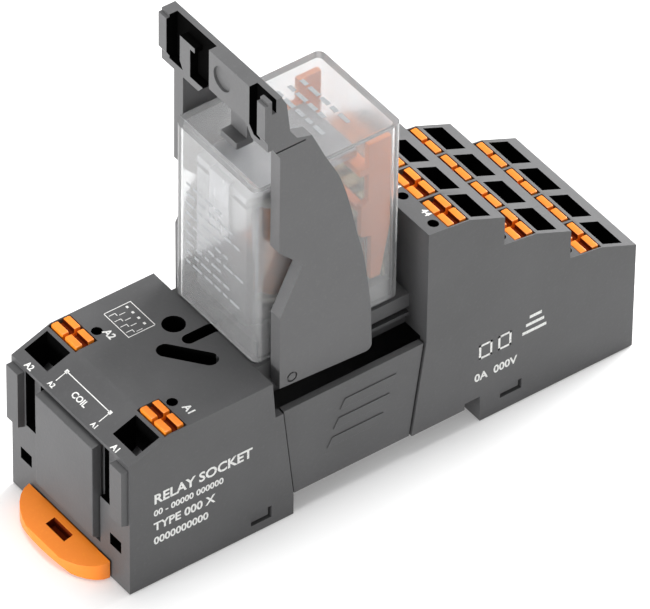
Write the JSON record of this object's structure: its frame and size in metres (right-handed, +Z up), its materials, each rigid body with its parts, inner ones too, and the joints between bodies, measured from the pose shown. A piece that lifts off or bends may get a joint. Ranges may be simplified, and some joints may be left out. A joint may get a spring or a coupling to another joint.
{
  "type": "plug in relay with rail socket",
  "caption": "Clear-cased plug-in relay held by a tilting retaining clip in a stepped push-in terminal socket with an orange rail foot.",
  "frame": {"origin": "middle of the bounding box at the underside of the socket", "axes": "+X along the socket from the coil end with the rail foot to the stepped contact end, +Y across the socket, +Z up, away from the rail"},
  "size_m": [0.1052, 0.0318, 0.0863],
  "materials": {
    "housing_plastic": "fine spark-eroded black polyamide",
    "clip_plastic": "satin black polyamide",
    "orange_plastic": "satin orange polyamide",
    "clear_cover": "clear polycarbonate, slightly frosted inside",
    "relay_base_plastic": "glossy black phenolic",
    "bobbin_nylon": "natural nylon",
    "copper_wire": "enamelled copper wire",
    "soft_iron": "zinc plated soft iron",
    "spring_steel": "bright spring strip",
    "salmon_plastic": "salmon orange moulding",
    "contact_brass": "bright stamped strip"
  },
  "bodies": {
    "socket": {"socket_housing": "housing_plastic", "base_frame": "housing_plastic", "end_plate": "housing_plastic"},
    "foot": {"rail_foot": "orange_plastic"},
    "clip": {"retaining_clip": "clip_plastic"},
    "relay": {"relay_cover": "clear_cover", "relay_base": "relay_base_plastic", "coil_bobbin": "bobbin_nylon", "coil_winding": "copper_wire", "iron_core": "soft_iron", "yoke": "soft_iron", "return_spring": "spring_steel", "common_contact_11": "contact_brass", "closed_contact_12": "contact_brass", "open_contact_14": "contact_brass", "common_contact_21": "contact_brass", "closed_contact_22": "contact_brass", "open_contact_24": "contact_brass", "common_contact_31": "contact_brass", "closed_contact_32": "contact_brass", "open_contact_34": "contact_brass", "common_contact_41": "contact_brass", "closed_contact_42": "contact_brass", "open_contact_44": "contact_brass", "coil_blade_a1": "contact_brass", "coil_blade_a2": "contact_brass"},
    "armature": {"armature": "soft_iron"},
    "actuator": {"contact_actuator": "salmon_plastic"},
    "pusher_a2_left": {"pusher_a2_left": "orange_plastic"},
    "pusher_a2_right": {"pusher_a2_right": "orange_plastic"},
    "pusher_a1_left": {"pusher_a1_left": "orange_plastic"},
    "pusher_a1_right": {"pusher_a1_right": "orange_plastic"},
    "pusher_14_left": {"pusher_14_left": "orange_plastic"},
    "pusher_14_right": {"pusher_14_right": "orange_plastic"},
    "pusher_24_left": {"pusher_24_left": "orange_plastic"},
    "pusher_24_right": {"pusher_24_right": "orange_plastic"},
    "pusher_34_left": {"pusher_34_left": "orange_plastic"},
    "pusher_34_right": {"pusher_34_right": "orange_plastic"},
    "pusher_44_left": {"pusher_44_left": "orange_plastic"},
    "pusher_44_right": {"pusher_44_right": "orange_plastic"},
    "pusher_11_left": {"pusher_11_left": "orange_plastic"},
    "pusher_11_right": {"pusher_11_right": "orange_plastic"},
    "pusher_21_left": {"pusher_21_left": "orange_plastic"},
    "pusher_21_right": {"pusher_21_right": "orange_plastic"},
    "pusher_31_left": {"pusher_31_left": "orange_plastic"},
    "pusher_31_right": {"pusher_31_right": "orange_plastic"},
    "pusher_41_left": {"pusher_41_left": "orange_plastic"},
    "pusher_41_right": {"pusher_41_right": "orange_plastic"},
    "pusher_12_left": {"pusher_12_left": "orange_plastic"},
    "pusher_12_right": {"pusher_12_right": "orange_plastic"},
    "pusher_22_left": {"pusher_22_left": "orange_plastic"},
    "pusher_22_right": {"pusher_22_right": "orange_plastic"},
    "pusher_32_left": {"pusher_32_left": "orange_plastic"},
    "pusher_32_right": {"pusher_32_right": "orange_plastic"},
    "pusher_42_left": {"pusher_42_left": "orange_plastic"},
    "pusher_42_right": {"pusher_42_right": "orange_plastic"}
  },
  "joints": [
    {"name": "relay_lift", "type": "slide", "parent": "socket", "child": "relay", "axis": [0, 0, 1], "range_m": [0, 0.0029]},
    {"name": "clip_tilt", "type": "hinge", "parent": "socket", "child": "clip", "pos_m": [-0.014, 0, 0.0273], "axis": [0, -1, 0], "range_deg": [0, 28]},
    {"name": "foot_slide", "type": "slide", "parent": "socket", "child": "foot", "axis": [-1, 0, 0], "range_m": [0, 0.003], "stiffness_N_per_m": 1500, "springref_m": -0.002},
    {"name": "actuator_slide", "type": "slide", "parent": "relay", "child": "actuator", "axis": [0, 0, -1], "range_m": [0, 0.00079]},
    {"name": "armature_tilt", "type": "hinge", "parent": "relay", "child": "armature", "pos_m": [-0.01637, 0, 0.05944], "axis": [0, 1, 0], "range_deg": [0, 2.4], "stiffness_Nm_per_rad": 0.02, "springref_deg": -5.73},
    {"name": "press_a2_left", "type": "slide", "parent": "socket", "child": "pusher_a2_left", "axis": [0, 0, -1], "range_m": [0, 0.0012], "stiffness_N_per_m": 400, "springref_m": -0.0005},
    {"name": "press_a2_right", "type": "slide", "parent": "socket", "child": "pusher_a2_right", "axis": [0, 0, -1], "range_m": [0, 0.0012], "stiffness_N_per_m": 400, "springref_m": -0.0005},
    {"name": "press_a1_left", "type": "slide", "parent": "socket", "child": "pusher_a1_left", "axis": [0, 0, -1], "range_m": [0, 0.0012], "stiffness_N_per_m": 400, "springref_m": -0.0005},
    {"name": "press_a1_right", "type": "slide", "parent": "socket", "child": "pusher_a1_right", "axis": [0, 0, -1], "range_m": [0, 0.0012], "stiffness_N_per_m": 400, "springref_m": -0.0005},
    {"name": "press_14_left", "type": "slide", "parent": "socket", "child": "pusher_14_left", "axis": [0, 0, -1], "range_m": [0, 0.0012], "stiffness_N_per_m": 400, "springref_m": -0.0005},
    {"name": "press_14_right", "type": "slide", "parent": "socket", "child": "pusher_14_right", "axis": [0, 0, -1], "range_m": [0, 0.0012], "stiffness_N_per_m": 400, "springref_m": -0.0005},
    {"name": "press_24_left", "type": "slide", "parent": "socket", "child": "pusher_24_left", "axis": [0, 0, -1], "range_m": [0, 0.0012], "stiffness_N_per_m": 400, "springref_m": -0.0005},
    {"name": "press_24_right", "type": "slide", "parent": "socket", "child": "pusher_24_right", "axis": [0, 0, -1], "range_m": [0, 0.0012], "stiffness_N_per_m": 400, "springref_m": -0.0005},
    {"name": "press_34_left", "type": "slide", "parent": "socket", "child": "pusher_34_left", "axis": [0, 0, -1], "range_m": [0, 0.0012], "stiffness_N_per_m": 400, "springref_m": -0.0005},
    {"name": "press_34_right", "type": "slide", "parent": "socket", "child": "pusher_34_right", "axis": [0, 0, -1], "range_m": [0, 0.0012], "stiffness_N_per_m": 400, "springref_m": -0.0005},
    {"name": "press_44_left", "type": "slide", "parent": "socket", "child": "pusher_44_left", "axis": [0, 0, -1], "range_m": [0, 0.0012], "stiffness_N_per_m": 400, "springref_m": -0.0005},
    {"name": "press_44_right", "type": "slide", "parent": "socket", "child": "pusher_44_right", "axis": [0, 0, -1], "range_m": [0, 0.0012], "stiffness_N_per_m": 400, "springref_m": -0.0005},
    {"name": "press_11_left", "type": "slide", "parent": "socket", "child": "pusher_11_left", "axis": [0, 0, -1], "range_m": [0, 0.0012], "stiffness_N_per_m": 400, "springref_m": -0.0005},
    {"name": "press_11_right", "type": "slide", "parent": "socket", "child": "pusher_11_right", "axis": [0, 0, -1], "range_m": [0, 0.0012], "stiffness_N_per_m": 400, "springref_m": -0.0005},
    {"name": "press_21_left", "type": "slide", "parent": "socket", "child": "pusher_21_left", "axis": [0, 0, -1], "range_m": [0, 0.0012], "stiffness_N_per_m": 400, "springref_m": -0.0005},
    {"name": "press_21_right", "type": "slide", "parent": "socket", "child": "pusher_21_right", "axis": [0, 0, -1], "range_m": [0, 0.0012], "stiffness_N_per_m": 400, "springref_m": -0.0005},
    {"name": "press_31_left", "type": "slide", "parent": "socket", "child": "pusher_31_left", "axis": [0, 0, -1], "range_m": [0, 0.0012], "stiffness_N_per_m": 400, "springref_m": -0.0005},
    {"name": "press_31_right", "type": "slide", "parent": "socket", "child": "pusher_31_right", "axis": [0, 0, -1], "range_m": [0, 0.0012], "stiffness_N_per_m": 400, "springref_m": -0.0005},
    {"name": "press_41_left", "type": "slide", "parent": "socket", "child": "pusher_41_left", "axis": [0, 0, -1], "range_m": [0, 0.0012], "stiffness_N_per_m": 400, "springref_m": -0.0005},
    {"name": "press_41_right", "type": "slide", "parent": "socket", "child": "pusher_41_right", "axis": [0, 0, -1], "range_m": [0, 0.0012], "stiffness_N_per_m": 400, "springref_m": -0.0005},
    {"name": "press_12_left", "type": "slide", "parent": "socket", "child": "pusher_12_left", "axis": [0, 0, -1], "range_m": [0, 0.0012], "stiffness_N_per_m": 400, "springref_m": -0.0005},
    {"name": "press_12_right", "type": "slide", "parent": "socket", "child": "pusher_12_right", "axis": [0, 0, -1], "range_m": [0, 0.0012], "stiffness_N_per_m": 400, "springref_m": -0.0005},
    {"name": "press_22_left", "type": "slide", "parent": "socket", "child": "pusher_22_left", "axis": [0, 0, -1], "range_m": [0, 0.0012], "stiffness_N_per_m": 400, "springref_m": -0.0005},
    {"name": "press_22_right", "type": "slide", "parent": "socket", "child": "pusher_22_right", "axis": [0, 0, -1], "range_m": [0, 0.0012], "stiffness_N_per_m": 400, "springref_m": -0.0005},
    {"name": "press_32_left", "type": "slide", "parent": "socket", "child": "pusher_32_left", "axis": [0, 0, -1], "range_m": [0, 0.0012], "stiffness_N_per_m": 400, "springref_m": -0.0005},
    {"name": "press_32_right", "type": "slide", "parent": "socket", "child": "pusher_32_right", "axis": [0, 0, -1], "range_m": [0, 0.0012], "stiffness_N_per_m": 400, "springref_m": -0.0005},
    {"name": "press_42_left", "type": "slide", "parent": "socket", "child": "pusher_42_left", "axis": [0, 0, -1], "range_m": [0, 0.0012], "stiffness_N_per_m": 400, "springref_m": -0.0005},
    {"name": "press_42_right", "type": "slide", "parent": "socket", "child": "pusher_42_right", "axis": [0, 0, -1], "range_m": [0, 0.0012], "stiffness_N_per_m": 400, "springref_m": -0.0005}
  ],
  "couplings": [
    {"joint": "clip_tilt", "follows": "relay_lift", "rad_per_m": 166.67},
    {"joint": "armature_tilt", "follows": "actuator_slide", "rad_per_m": 52.91}
  ]
}
